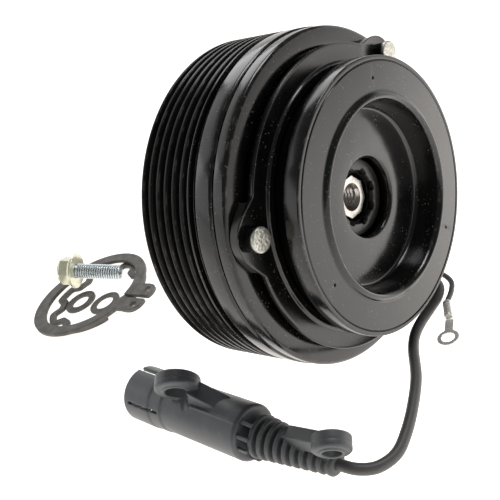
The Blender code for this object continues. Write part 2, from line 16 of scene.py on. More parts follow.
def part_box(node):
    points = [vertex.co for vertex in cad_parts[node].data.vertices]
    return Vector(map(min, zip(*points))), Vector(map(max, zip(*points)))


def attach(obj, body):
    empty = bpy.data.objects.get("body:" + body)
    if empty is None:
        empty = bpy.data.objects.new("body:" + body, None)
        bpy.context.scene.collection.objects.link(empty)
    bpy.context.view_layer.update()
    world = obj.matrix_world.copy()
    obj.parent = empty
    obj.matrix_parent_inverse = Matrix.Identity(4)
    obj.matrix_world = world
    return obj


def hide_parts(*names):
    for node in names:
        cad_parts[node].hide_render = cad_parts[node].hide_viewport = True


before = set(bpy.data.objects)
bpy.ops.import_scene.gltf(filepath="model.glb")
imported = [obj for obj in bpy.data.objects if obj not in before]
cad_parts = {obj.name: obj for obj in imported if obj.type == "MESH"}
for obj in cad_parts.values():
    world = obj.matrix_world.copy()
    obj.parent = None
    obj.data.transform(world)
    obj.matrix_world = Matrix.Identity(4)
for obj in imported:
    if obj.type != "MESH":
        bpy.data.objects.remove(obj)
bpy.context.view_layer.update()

MM = 0.001
PULLEY_R = 55.8
DISC_R = 44.0
LIP = 1.6  # how far the cup's lip stands in front of the disc
PLATE_R = 49.4  # the driver plate between its ears
EAR_R = 55.6
EAR_HEADINGS = (38.7, 158.7, 278.7)
RIVET_RING_R = 49.9
SCREW_RING_R = 38  # the screw holes and the pin of the coil's plate
NOSE_R = 7.2
BORE_R = 3.4
THREAD_PITCH = 1.25  # of the bolt and of the nose's bore
THREAD_ROW = 0.156  # from one row of points in a thread to the next
BLACK = (0.012, 0.012, 0.012)
AXIS = Vector((0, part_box("front_disc")[0][1] + LIP * MM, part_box("pulley")[1][2] / 2))  # at the disc's front
FLOOR = Vector((0, AXIS.y, 0))  # the floor below that point


# Materials


class Finish:
    """A procedural material. A pattern's size is that of its features."""

    def __init__(self, name, **sockets):
        self.material = bpy.data.materials.new(name)
        self.material.use_nodes = True
        self.tree = self.material.node_tree
        self.shader = self.tree.nodes["Principled BSDF"]
        self.place = self.node("ShaderNodeTexCoord").outputs["Object"]
        for socket, value in sockets.items():
            self.shader.inputs[socket.replace("_", " ")].default_value = value

    def node(self, kind, inputs=None, **settings):
        made = self.tree.nodes.new(kind)
        for key, value in settings.items():
            setattr(made, key, value)
        for key, value in (inputs or {}).items():
            if isinstance(value, bpy.types.NodeSocket):
                self.tree.links.new(value, made.inputs[key])
            else:
                made.inputs[key].default_value = value
        return made

    def calc(self, operation, a, b):
        return self.node("ShaderNodeMath", {0: a, 1: b}, operation=operation).outputs[0]

    def times(self, a, b):
        return self.calc("MULTIPLY", a, b)

    def vector(self, operation, a, b):
        return self.node("ShaderNodeVectorMath", {0: a, 1: b}, operation=operation).outputs[0]

    def length(self, vector):
        return self.node("ShaderNodeVectorMath", {0: vector}, operation="LENGTH").outputs["Value"]

    def noise(self, size, detail):
        inputs = {"Vector": self.place, "Scale": 1 / (size * MM), "Detail": detail}
        return self.node("ShaderNodeTexNoise", inputs).outputs[0]

    def spots(self, size, share):
        """1 in small specks, 0 elsewhere."""
        cells = self.node("ShaderNodeTexVoronoi", {"Vector": self.place, "Scale": 1 / (size * MM)})
        return self.between(cells.outputs["Distance"], share, share * 0.6)

    def between(self, value, low, high, to_low=0.0, to_high=1.0):
        inputs = {0: value, 1: low, 2: high, 3: to_low, 4: to_high}
        return self.node("ShaderNodeMapRange", inputs).outputs[0]

    def past(self, distance, edge, ramp):
        """0 before an edge, 1 behind the ramp that starts there."""
        return self.between(distance, edge * MM, (edge + ramp) * MM)

    def blend(self, factor, a, b):
        made = self.node("ShaderNodeMix", {0: factor}, data_type="RGBA")
        for socket, value in ((made.inputs[6], a), (made.inputs[7], b)):
            if isinstance(value, bpy.types.NodeSocket):
                self.tree.links.new(value, socket)
            else:
                socket.default_value = (*value, 1)
        return made.outputs[2]

    def wear_and_highlight(self):
        """The scuffed edges, which are also painted highlights along rounded edges and which the turned pieces
        carry as an attribute.
        """
        return self.node("ShaderNodeAttribute", attribute_name="wear_and_highlight").outputs["Fac"]

    def bump(self, height, depth, strength, normal=None):
        inputs = {"Height": height, "Distance": depth * MM, "Strength": strength}
        if normal:
            inputs["Normal"] = normal
        return self.node("ShaderNodeBump", inputs).outputs[0]

    def use(self, **sockets):
        for socket, value in sockets.items():
            self.tree.links.new(value, self.shader.inputs[socket.replace("_", " ")])
        return self.material


def coated(name, base=0.003, rough=(0.13, 0.22), dust=0.2, shine=1.55):
    """Black coated steel: faint ripple, fine grain, a few pale specks and edges scuffed a little, paler and
    half metallic, which also serve as painted highlights along rounded edges.
    """
    speck, worn_and_highlit = (0.3, 0.29, 0.275), (0.09, 0.086, 0.08)
    look = Finish(name, IOR=shine)
    broad, fine = look.noise(9.0, 4.0), look.noise(0.5, 2.0)
    specks = look.times(look.spots(1.2, dust), look.between(look.noise(5.0, 3.0), 0.44, 0.62))
    # Scuffed edges and painted highlights: outward rounded edges, broken up by noise, are paler and half
    # metallic.
    rubbed_and_highlit = look.times(look.wear_and_highlight(), look.between(look.noise(3.4, 5.0), 0.52, 0.72))
    colour = look.blend(look.between(broad, 0.35, 0.75), (base,) * 3, (1.9 * base,) * 3)
    colour = look.blend(look.times(specks, look.between(fine, 0.2, 0.9)), colour, speck)
    colour = look.blend(rubbed_and_highlit, colour, worn_and_highlit)
    roughness = look.between(broad, 0.3, 0.7, *rough)
    grain = look.bump(fine, 0.018, 0.5)
    ripple = look.bump(look.noise(3.2, 2.0), 0.024, 0.4, grain)
    return look.use(Base_Color=colour, Roughness=roughness, Metallic=look.times(rubbed_and_highlit, 0.5), Normal=ripple)


def metal(name, colour, dark, rough, grain, size=0.5, patch=3.0, sheet=1.0, bore=None, head=None,
          thread=None):
    """Bare or plated metal with patchy tone and a fine surface.

    With a bore's radius it is a little darker inside that, and black outside the nose. With a head's depth
    it is black behind that: painted shade on a rivet head's side and neck. With a thread's pitch the valleys of
    the thread are darker: painted shade.
    """
    nose, valley_shade = 7.6, (0.2, 0.25, 0.26)
    look = Finish(name, Metallic=sheet)
    patches, fine = look.noise(patch, 5.0), look.noise(size, 3.0)
    tone = look.blend(look.between(patches, 0.3, 0.72), dark, colour)
    if bore:
        radius = look.length(look.vector("MULTIPLY", look.place, (1, 0, 1)))
        # A little darker inside the bore.
        bore_tone = tuple(0.9 * value for value in dark)
        tone = look.blend(look.past(radius, bore, 0.5), bore_tone, tone)
        tone = look.blend(look.past(radius, nose, 0.2), tone, BLACK)
    # Painted shade: behind the head's depth, the rivet head's side and neck are painted black.
    if head:
        depth = look.node("ShaderNodeSeparateXYZ", {0: look.place}).outputs["Y"]
        tone = look.blend(look.past(depth, head, 0.6), tone, BLACK)
    # Painted shade: the thread's valleys are painted darker than its crests.
    if thread:
        axes = look.node("ShaderNodeSeparateXYZ", {0: look.place}).outputs
        turns = look.times(look.calc("ARCTAN2", axes["Z"], axes["X"]), 0.5 / math.pi)
        phase = look.calc("SUBTRACT", look.times(axes["Y"], 1 / (thread * MM)), turns)
        crest = look.calc("PINGPONG", phase, 0.5)
        tone = look.blend(look.between(crest, 0.04, 0.24), valley_shade, tone)
    roughness = look.between(fine, 0.25, 0.75, *rough)
    return look.use(Base_Color=tone, Roughness=roughness, Normal=look.bump(fine, grain, 0.6))


def moulded(name, base, light, rough, grain=0.02, size=0.35):
    """Moulded plastic or rubber: fine spark texture and faint uneven tone."""
    look = Finish(name, IOR=1.5)
    broad, fine = look.noise(7.0, 4.0), look.noise(size, 2.0)
    specks = look.times(look.spots(1.6, 0.1), look.between(look.noise(4.0, 3.0), 0.5, 0.7))
    tone = look.blend(look.between(broad, 0.3, 0.75), base, light)
    tone = look.blend(specks, tone, tuple(3 * value for value in light))
    roughness = look.between(broad, 0.3, 0.7, *rough)
    return look.use(Base_Color=tone, Roughness=roughness, Normal=look.bump(fine, grain, 0.5))


COAT = coated("coated_steel")
COAT_DEEP = coated("coated_steel_inner", base=0.012, rough=(0.3, 0.42), dust=0.1)
# A duller copy of the coating for the belt ribs: painted shade in their grooves.
RIBS_SHADED = coated("coated_steel_ribs_shaded", rough=(0.2, 0.3), dust=0.08, shine=1.22)
NECK = coated("neck_rubber", base=0.001, rough=(0.45, 0.55), dust=0.08, shine=1.15)
PLASTIC = moulded("moulded_plastic", (0.062, 0.068, 0.073), (0.1, 0.108, 0.114), (0.34, 0.46))
RUBBER = moulded("boot_rubber", (0.056, 0.061, 0.064), (0.088, 0.094, 0.098), (0.4, 0.55))
CABLE = moulded("cable_jacket", (0.068, 0.068, 0.066), (0.088, 0.087, 0.084), (0.42, 0.52), 0.01)
SEAL = moulded("seal_rubber", (0.016, 0.016, 0.017), (0.026, 0.026, 0.027), (0.4, 0.5), 0.01)
RESIN = moulded("potting_resin", (0.05, 0.03, 0.018), (0.075, 0.045, 0.026), (0.25, 0.4), 0.03, 1.5)
NOSE = metal("nose_steel", (0.62, 0.6, 0.56), (0.42, 0.4, 0.37), (0.22, 0.36), 0.008, bore=3.6)
STEEL = metal("bearing_steel", (0.6, 0.6, 0.6), (0.42, 0.42, 0.42), (0.2, 0.3), 0.004)
# The rivet's side and neck are painted black as shade, from the head's depth back.
RIVET_WITH_SHADED_SIDE = metal("rivet_steel_shaded_side", (0.68, 0.68, 0.61), (0.36, 0.36, 0.32), (0.3, 0.48), 0.12, size=0.9, patch=0.8,
              sheet=0.8, head=9.8)
SPRING = metal("phosphated_ring", (0.17, 0.163, 0.15), (0.09, 0.086, 0.08), (0.45, 0.62), 0.02, size=0.4,
               patch=4.0, sheet=0.35)
ZINC = metal("zinc_plate", (0.82, 0.87, 0.87), (0.62, 0.7, 0.75), (0.16, 0.28), 0.008, sheet=0.75,
             thread=THREAD_PITCH)
# A paler, warmer copy of the zinc plate for the bolt's head: painted light on the head.
ZINC_LIT_HEAD = metal("zinc_plate_lit_head", (0.93, 0.91, 0.66), (0.78, 0.8, 0.66), (0.16, 0.3), 0.008, sheet=0.6)
TIN = metal("tin_plate", (0.88, 0.87, 0.83), (0.72, 0.71, 0.67), (0.2, 0.34), 0.01, sheet=0.5)
COPPER = metal("enamelled_wire", (0.62, 0.26, 0.13), (0.42, 0.16, 0.08), (0.25, 0.4), 0.02)
PLATE = metal("coil_plate_steel", (0.4, 0.38, 0.33), (0.26, 0.25, 0.22), (0.35, 0.5), 0.01, sheet=0.8)


# Shapes


def link(name, data, paint, body, replaces=(), origin=AXIS, place=None):
    data.materials.append(paint)
    piece = bpy.data.objects.new(name, data)
    bpy.context.scene.collection.objects.link(piece)
    piece.matrix_world = Matrix.Translation(origin) @ (place or Matrix())
    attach(piece, body)
    if replaces:
        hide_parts(*replaces)
    return piece


def mesh(name, bm, crease=34):
    """A smooth mesh whose edges stay hard where its faces meet at more than the crease angle."""
    bmesh.ops.recalc_face_normals(bm, faces=bm.faces)
    for edge in bm.edges:
        edge.smooth = len(edge.link_faces) != 2 or edge.calc_face_angle() < math.radians(crease)
    for face in bm.faces:
        face.smooth = True
    data = bpy.data.meshes.new(name)
    bm.to_mesh(data)
    bm.free()
    return data


def rounded(profile, default):
    """A closed profile with its corners rounded, as (radius, depth, edge mark), the edge mark flagging outward
    corners for scuffing and a painted highlight.
    """
    steps = 3
    area = sum(a[0] * b[1] - b[0] * a[1] for a, b in zip(profile, profile[1:] + profile[:1]))
    out = []
    for i, point in enumerate(profile):
        corner = Vector(point[:2])
        before, after = Vector(profile[i - 1][:2]), Vector(profile[(i + 1) % len(profile)][:2])
        into, away = before - corner, after - corner
        reach = point[2] if len(point) > 2 else default
        reach = min(reach, 0.45 * into.length, 0.45 * away.length)
        if corner.x < 1e-6 or reach < 0.02:
            out.append((*corner, 0.0))
            continue
        outward = (-into).cross(away) * area > 0
        bend = 1 - abs(into.normalized().dot(away.normalized() * -1))
        start, end = corner + into.normalized() * reach, corner + away.normalized() * reach
        for k in range(steps + 1):
            t = k / steps
            spot = start * (1 - t) ** 2 + corner * 2 * t * (1 - t) + end * t * t
            # Outward corners are flagged for scuffing and a painted highlight.
            worn_and_highlit = 1.0 if outward and bend > 0.12 and 0 < k < steps else 0.0
            out.append((*spot, worn_and_highlit))
    return out


def lathe(bm, profile, steps, shape=None):
    """Turn (radius, depth, edge mark) points about Y. shape(radius, depth, turn) may move a point."""
    layer = bm.verts.layers.float.get("wear_and_highlight") or bm.verts.layers.float.new("wear_and_highlight")
    rings = []
    for radius, depth, worn_and_highlit in profile:
        if radius < 1e-6:
            vertex = bm.verts.new((0, depth * MM, 0))
            rings.append([vertex] * steps)
            continue
        row = []
        for k in range(steps):
            turn = 2 * math.pi * k / steps
            r, d = shape(radius, depth, turn) if shape else (radius, depth)
            vertex = bm.verts.new((r * math.cos(turn) * MM, d * MM, r * math.sin(turn) * MM))
            vertex[layer] = worn_and_highlit
            row.append(vertex)
        rings.append(row)
    for a, b in zip(rings, rings[1:] + rings[:1]):
        for k in range(steps):
            corners = list(dict.fromkeys((a[k], a[k - 1], b[k - 1], b[k])))
            if len(corners) > 2:
                bm.faces.new(corners)
    return bm


def turned(name, profile, paint, body, replaces=(), round_by=0.25, steps=224, shape=None, origin=AXIS,
           place=None):
    bm = lathe(bmesh.new(), rounded(profile, round_by), steps, shape)
    return link(name, mesh(name, bm), paint, body, replaces, origin, place)


def on_circle(radius, heading):
    turn = math.radians(heading)
    return radius * math.cos(turn), radius * math.sin(turn)


def beside_axis(radius, heading):
    """Where a piece turned about an axis of its own stands beside the clutch's."""
    x, z = on_circle(radius, heading)
    return Matrix.Translation((x * MM, 0, z * MM))


def arc(radius, start, end, steps, centre=(0, 0)):
    spots = [on_circle(radius, start + (end - start) * i / steps) for i in range(steps + 1)]
    return [(centre[0] + x, centre[1] + y) for x, y in spots]


def circle(radius, centre=(0, 0), steps=64):
    return arc(radius, 0, 360, steps, centre)[:-1]


def sheet_curve(name, loops, thickness, edge=0.2):
    """A flat plate with rounded edges: the first loop is its outline, the others are holes."""
    data = bpy.data.curves.new(name, "CURVE")
    data.dimensions = "2D"
    data.fill_mode = "BOTH"
    data.extrude = (thickness / 2 - edge) * MM
    data.bevel_depth = edge * MM
    data.bevel_resolution = 2
    data.offset = -edge * MM
    for loop in loops:
        spline = data.splines.new("POLY")
        spline.points.add(len(loop) - 1)
        for point, (x, y) in zip(spline.points, loop):
            point.co = (x * MM, y * MM, 0, 1)
        spline.use_cyclic_u = True
    return data


def along(start, end, roll=0.0):
    """Where a piece drawn along Y from 0 runs from start towards end."""
    start, end = Vector(start) * MM, Vector(end) * MM
    turn = (end - start).to_track_quat("Y", "Z").to_matrix().to_4x4()
    return Matrix.Translation(start) @ turn @ Matrix.Rotation(math.radians(roll), 4, "Y")


def flat_on_floor(x, y, bottom, thickness, heading):
    place = Matrix.Translation((x * MM, y * MM, (bottom + thickness / 2) * MM))
    return place @ Matrix.Rotation(math.radians(heading), 4, "Z")


def across_axis(depth):
    """Where a flat plate stands square to the axis at a depth."""
    return Matrix.Translation((0, depth * MM, 0)) @ Matrix.Rotation(math.pi / 2, 4, "X")


def polygon_radius(flat_radius, sides, turn):
    step = 2 * math.pi / sides
    off = (turn + step / 2) % step - step / 2
    return flat_radius / math.cos(off)


def smooth_route(points):
    """A Catmull-Rom curve through given points."""
    per_span = 8
    ends = [points[0], *points, points[-1]]
    route = []
    for a, b, c, d in zip(ends, ends[1:], ends[2:], ends[3:]):
        a, b, c, d = (Vector(p) for p in (a, b, c, d))
        for i in range(per_span):
            t = i / per_span
            slope, bend, twist = c - a, 2 * a - 5 * b + 4 * c - d, 3 * b - a - 3 * c + d
            route.append(0.5 * (2 * b + slope * t + bend * t * t + twist * t ** 3))
    return [*route, Vector(points[-1])]


def prism(bm, outline, low, high):
    """An outline in local XZ run along local Y from low to high."""
    rows = [[bm.verts.new((x * MM, y * MM, z * MM)) for x, z in outline] for y in (low, high)]
    bm.faces.new(rows[0])
    bm.faces.new(rows[1][::-1])
    for i in range(len(outline)):
        bm.faces.new((rows[0][i - 1], rows[0][i], rows[1][i], rows[1][i - 1]))


def temporary(bm):
    data = mesh("temporary", bm)
    made = bpy.data.objects.new("temporary", data)
    bpy.context.scene.collection.objects.link(made)
    return made


def placed(bm, place):
    bmesh.ops.transform(bm, matrix=place, verts=bm.verts)
    return temporary(bm)


def block_shape(size, place):
    bm = bmesh.new()
    bmesh.ops.create_cube(bm, size=1)
    bmesh.ops.scale(bm, vec=[value * MM for value in size], verts=bm.verts)
    return placed(bm, place)


def turned_shape(profile, place, round_by, steps=96):
    return placed(lathe(bmesh.new(), rounded(profile, round_by), steps), place)


def settled(source, name):
    """The mesh of an object with its modifiers applied. The object goes."""
    bpy.context.view_layer.update()
    data = bpy.data.meshes.new_from_object(source.evaluated_get(bpy.context.evaluated_depsgraph_get()))
    data.name = name
    bpy.data.objects.remove(source)
    return data


def carve(source, cutter):
    """What is left of the source without the cutter. Both objects go."""
    step = source.modifiers.new("carve", "BOOLEAN")
    step.operation = "DIFFERENCE"
    step.solver = "EXACT"
    step.object = cutter
    data = settled(source, "carved")
    bpy.data.objects.remove(cutter)
    made = bpy.data.objects.new("temporary", data)
    bpy.context.scene.collection.objects.link(made)
    return made


def fused(name, sources, voxel, smoothing):
    """Overlapping closed shapes melted into one moulding with soft edges."""
    bm = bmesh.new()
    for source in sources:
        bm.from_mesh(source.data)
    whole = temporary(bm)
    for source in sources:
        bpy.data.objects.remove(source)
    step = whole.modifiers.new("melt", "REMESH")
    step.mode = "VOXEL"
    step.voxel_size = voxel * MM
    step.use_smooth_shade = True
    soft = whole.modifiers.new("soften", "SMOOTH")
    soft.iterations = smoothing
    soft.factor = 0.5
    return settled(whole, name)


# Pulley and bearing


def make_pulley():
    """The smooth drum with the bearing's tube, and the belt ribs round it, which are duller: a less glossy copy
    of the coating that stands in for the shade in their grooves.
    """
    crest, root, depth, pitch, first, valleys = 0.65, 0.14, 2.85, 3.56, 35.4, 5
    floor_r = PULLEY_R - depth - 0.6
    drum = [
        (55.1, 22.6, 0.3), (PULLEY_R, 23.3, 0.3), (PULLEY_R, 29.2, 0.5), (52.6, 29.7, 0.3), (52.6, 30.6),
        (54.6, 30.8, 0.15), (54.6, 31.3, 0.15), (52.8, 31.4), (52.8, 31.8), (PULLEY_R, 32.0, 0.25),
        (PULLEY_R, 32.7, 0.25), (53.8, 33.3), (53.8, 33.8), (floor_r, 33.8), (floor_r, 53.6, 0.3),
        (46.6, 54.0, 0.4), (46.6, 29.0), (29.4, 29.0), (29.4, 52.6, 0.4), (26.1, 52.6, 0.5), (26.1, 51.0),
        (27.3, 51.0), (27.3, 49.5), (26.1, 49.5), (26.1, 27.2), (24.2, 27.2), (24.2, 24.6), (33.0, 24.6),
        (33.0, 22.6, 0.4),
    ]
    ribs = [(floor_r - 0.3, 33.9), (53.8, 33.9), (PULLEY_R, 34.5, 0.3)]
    for i in range(valleys):
        middle = first + (i + 0.5) * pitch
        half = pitch / 2 - crest
        ribs += [
            (PULLEY_R, middle - half, 0.32), (PULLEY_R - depth, middle - root, 0.15),
            (PULLEY_R - depth, middle + root, 0.15), (PULLEY_R, middle + half, 0.32),
        ]
    ribs += [(PULLEY_R, 53.6, 0.3), (55.4, 54.0, 0.3), (floor_r - 0.3, 54.0)]
    turned("pulley_drum", drum, COAT, "pulley", ["pulley"], 0.2, 288)
    turned("pulley_ribs", ribs, RIBS_SHADED, "pulley", ["pulley"], 0.2, 288)


def race(name, wall, rim, front, back, body, replaces):
    """A bearing race from its rim to the wall that the balls' track is ground in."""
    ring_r, ball_r, middle = 20.5, 3.3, (front + back) / 2
    reach = math.degrees(math.acos(abs(wall - ring_r) / ball_r))
    base = 180 if rim < wall else 0
    track = arc(ball_r, base - reach, base + reach, 8, (ring_r, middle))
    track = sorted(((*point, 0.0) for point in track), key=lambda point: point[1])
    if rim > wall:
        profile = [(rim, back, 0.8), (wall, back), *track[::-1], (wall, front), (rim, front, 0.8)]
    else:
        profile = [(rim, front, 0.8), (wall, front), *track, (wall, back), (rim, back, 0.8)]
    turned(name, profile, STEEL, body, replaces, 0.2, 160)


def make_bearing():
    """Races, seals and circlip. The balls and their cage are the CAD's own."""
    front, back = 27.3, 49.3
    race("race_inner", 18.3, 15.0, front, back, "stator", ["bearing_inner_race"])
    race("race_outer", 22.7, 26.0, front, back, "pulley", ["bearing_outer_race"])
    inner, outer, seal = 18.55, 22.55, 1.2
    for name, low in (("bearing_seal_front", front + 0.5), ("bearing_seal_rear", back - 1.7)):
        high = low + seal
        profile = [
            (inner, low + 0.3), (inner + 0.5, low), (inner + 1.2, low + 0.25), (outer - 0.6, low + 0.1),
            (outer, low + 0.3), (outer, high - 0.3), (outer - 0.6, high), (outer - 1.2, high - 0.3),
            (inner + 1.0, high - 0.25), (inner + 0.5, high), (inner, high - 0.3),
        ]
        turned(name + "_lip", profile, SEAL, "pulley", [name], 0.12, 160)
    gap, inside, outside, wire = 9, 23.6, 27.0, 1.2
    outline = arc(outside, gap, 360 - gap, 120) + arc(inside, 360 - gap, gap, 120)
    link("circlip_inner", sheet_curve("circlip_inner", [outline], wire), SPRING, "pulley",
         ["bearing_circlip"], AXIS, across_axis(back + 0.95))


# Hub, disc and armature


def make_disc():
    """The disc with its cup, whose floor falls a little towards the wall, and its rolled and grooved rim."""
    sheet, rim_back, groove_r = 2.2, 5.5, 42.4
    lip_out, lip_in, floor_r, hole_r = 32.8, 30.2, 28.8, 12.7
    profile = [
        (hole_r + 0.7, 7.3, 0.4), (16.5, 7.34, 1.2), (20.0, 7.6, 1.8), (24.0, 8.0, 1.8),
        (floor_r - 0.4, 8.5, 0.5), (floor_r + 0.4, 7.4, 0.4), (lip_in, 1.2 - LIP, 0.9), (31.4, -LIP, 0.8),
        (lip_out - 0.3, -LIP + 0.8, 0.5), (lip_out + 0.4, 0, 0.4), (groove_r - 0.35, 0, 0.12),
        (groove_r, 0.5, 0.1), (groove_r + 0.35, 0, 0.12), (DISC_R, 0, 0.7), (DISC_R, rim_back, 0.3),
        (DISC_R - 1.4, rim_back, 0.3), (DISC_R - 1.4, sheet + 0.6), (DISC_R - 2, sheet),
        (lip_out + 0.2, sheet), (lip_in + 0.6, 8.8), (lip_in, 9.4), (hole_r, 9.4, 0.2), (hole_r, 8.1, 0.4),
    ]

    def uneven(radius, depth, turn):
        """Pressed sheet isn't quite flat, and its rim's back edge is ragged."""
        lift = 0.05 * noise.noise(Vector((3 * math.cos(turn), 3 * math.sin(turn), radius * 0.12)))
        flash = 0.0
        if depth > 4 and radius > 42:
            flash = 0.35 * noise.noise(Vector((7 * math.cos(turn), 7 * math.sin(turn), 4.0)))
        return radius, depth + lift - abs(flash)

    disc = carve(temporary(lathe(bmesh.new(), rounded(profile, 0.25), 288, uneven)), punch_marks())
    bm = bmesh.new()
    bm.from_mesh(disc.data)
    bpy.data.objects.remove(disc)
    link("disc_face", mesh("disc_face", bm), COAT, "hub", ["front_disc"])


def punch_marks():
    """Three small cones that the disc's face is dimpled with."""
    ring_r, radius, tip_r, depth = 37.3, 1.15, 0.2, 1.8
    bm = bmesh.new()
    for heading in (68.5, 188.5, 308.5):
        x, z = on_circle(ring_r, heading)
        place = Matrix.Translation(Vector((x, -0.1, z)) * MM) @ Matrix.Rotation(-math.pi / 2, 4, "X")
        bmesh.ops.create_cone(bm, cap_ends=True, segments=24, radius1=radius * MM, radius2=tip_r * MM,
                              depth=depth * MM, matrix=place)
    return temporary(bm)


def make_hub():
    make_disc()
    neck = [(34.6, 2.6), (40.6, 2.6, 0.3), (40.6, 10.6, 0.8), (40.1, 13.6), (34.6, 13.6)]
    turned("damper_neck", neck, NECK, "hub", ["rubber_damper"], 0.3)
    front, floor, bore_end, tooth, lead_in = 14.0, 17.4, 22.0, 0.62, 1.0
    rows = int((bore_end - front - lead_in) / THREAD_ROW)
    thread = [(BORE_R, bore_end - i * THREAD_ROW, 0.0) for i in range(rows + 1)]
    profile = rounded([
        (BORE_R + 1.1, front, 0.2), (NOSE_R, front, 0.25), (NOSE_R, floor, 0.2), (13.2, floor, 0.4),
        (13.4, 9.8, 0.3), (31.0, 9.8), (33.4, 3.0), (34.2, 3.0), (34.2, 12.4), (15.0, 12.4), (14.0, 22.0),
        (11.0, 23.0), (11.0, 40.0, 0.5), (6.6, 40.0, 0.6), (6.6, 23.0), (BORE_R + 0.4, bore_end + 0.4, 0.1),
    ], 0.25)

    def nose(radius, depth, turn):
        """Eight sides outside and the thread inside."""
        if abs(radius - NOSE_R) < 0.35 and depth < floor:
            return radius * polygon_radius(NOSE_R * math.cos(math.pi / 8), 8, turn + 0.15) / NOSE_R, depth
        if abs(radius - BORE_R) < 0.01:
            phase = (depth / THREAD_PITCH + turn / (2 * math.pi)) % 1
            fade = min(1, max(0, (depth - front - lead_in) / 0.8))
            return BORE_R + fade * tooth * (abs(2 * phase - 1) - 0.2), depth
        return radius, depth

    bm = lathe(bmesh.new(), profile + thread, 160, nose)
    link("hub_nose", mesh("hub_nose", bm, 50), NOSE, "hub", ["hub_boss"])

    def scallops(radius, depth, turn):
        if radius < 10.3:
            return radius + 0.95 * max(0, math.cos(8 * turn + 1.2)) ** 0.6 - 0.1, depth
        return radius, depth

    ring = [(8.7, 12.0), (9.0, 11.6, 0.15), (12.4, 11.6, 0.3), (12.4, 14.2), (8.7, 14.2)]
    turned("lock_ring_scallops", ring, COAT_DEEP, "hub", ["lock_ring"], 0.15, 288, scallops)
    seat = [(7.9, 13.6), (12.2, 13.6), (12.2, 16.9), (7.9, 16.9)]
    turned("lock_ring_seat", seat, NECK, "hub")


def ear_radius(turn):
    """The edge of the driver plate: round, with three rounded ears on sloping shoulders."""
    half = 14.0
    heading = math.degrees(turn)
    off = min(abs((heading - ear + 180) % 360 - 180) for ear in EAR_HEADINGS)
    if off >= half:
        return PLATE_R
    return PLATE_R + (EAR_R - PLATE_R) * (0.5 + 0.5 * math.cos(math.pi * off / half)) ** 0.6


def make_armature():
    front, back = 16.6, 22.0
    rim_r, land_r = PULLEY_R - 0.4, 48.7
    rim = [
        (31.0, front + 2.0, 0.3), (land_r, front + 2.0, 0.2), (land_r, front, 0.3),
        (rim_r - 3.6, front + 0.15, 1.2), (rim_r - 0.8, front + 0.7, 1.0), (rim_r, front + 1.5, 0.4),
        (rim_r, back, 0.3), (34.0, back), (31.0, back - 0.6),
    ]
    turned("armature_rim", rim, COAT, "armature", ["armature_plate"], 0.25, 288)
    face, rear, flat_r, slope = 12.0, 13.8, 48.4, 0.22

    def outline(radius, depth, turn):
        """Carries the plate's edge out to the ears, whose front faces slope back a little."""
        if radius < flat_r - 0.2:
            return radius, depth
        reach = ear_radius(turn) - PLATE_R
        return radius + reach, depth + (slope * reach if depth < (face + rear) / 2 else 0)

    plate = [
        (41.2, 11.2, 0.2), (43.3, 11.2, 0.3), (43.9, face, 0.3), (flat_r, face, 0.0), (PLATE_R, face, 0.35),
        (PLATE_R, rear, 0.35), (flat_r, rear, 0.0), (41.2, rear),
    ]
    turned("driver_ears", plate, COAT, "armature", ["driver_plate"], 0.25, 720, outline)
    for i, heading in enumerate(EAR_HEADINGS):
        make_rivet(i + 1, beside_axis(RIVET_RING_R, heading))
        make_pad(i + 1, heading)


def make_pad(number, heading):
    """The pad behind an ear, with the ear's own outline."""
    inner, half, inset, front, back = 47.0, 12.0, 0.35, 13.9, 16.5
    headings = [heading - half + 2 * half * i / 60 for i in range(61)]
    edge = [on_circle(ear_radius(math.radians(here)) - inset, here) for here in headings]
    bm = bmesh.new()
    prism(bm, edge + arc(inner, heading + half, heading - half, 30), front, back)
    link(f"pad_{number}", mesh("pad", bm), COAT_DEEP, "armature", [f"ear_pad_{number}"])


def make_rivet(number, place):
    """A hammered rivet head on a slightly narrower neck."""
    front, back, neck_r = 9.1, 13.4, 3.4
    profile = rounded([
        (0, front), (1.2, front, 0.0), (2.4, front, 0.0), (3.5, front + 0.05, 0.15), (3.8, front + 0.3, 0.2),
        (3.75, front + 1.8, 0.2), (neck_r, front + 2.1), (neck_r, back), (0, back),
    ], 0.1)

    def hammered(radius, depth, turn):
        spot = Vector((radius * math.cos(turn), radius * math.sin(turn), number * 9.0))
        dent = 0.1 * noise.noise(spot * 1.7) + 0.1 * noise.noise(spot * 3.6)
        if depth < front + 0.8:
            return radius, depth + dent
        return radius, depth

    denser = []
    for a, b in zip(profile, profile[1:]):
        denser.append(a)
        gap = math.hypot(b[0] - a[0], b[1] - a[1])
        cuts = int(gap / 0.3) if max(a[0], b[0]) < 3.6 and a[1] < front + 0.3 else 0
        denser += [tuple(p + (q - p) * (k + 1) / (cuts + 1) for p, q in zip(a, b)) for k in range(cuts)]
    denser.append(profile[-1])
    bm = lathe(bmesh.new(), denser, 56, hammered)
    link(f"rivet_head_{number}", mesh("rivet_head", bm, 50), RIVET_WITH_SHADED_SIDE, "armature",
         [f"rivet_{number}"], AXIS, place)


# Field coil


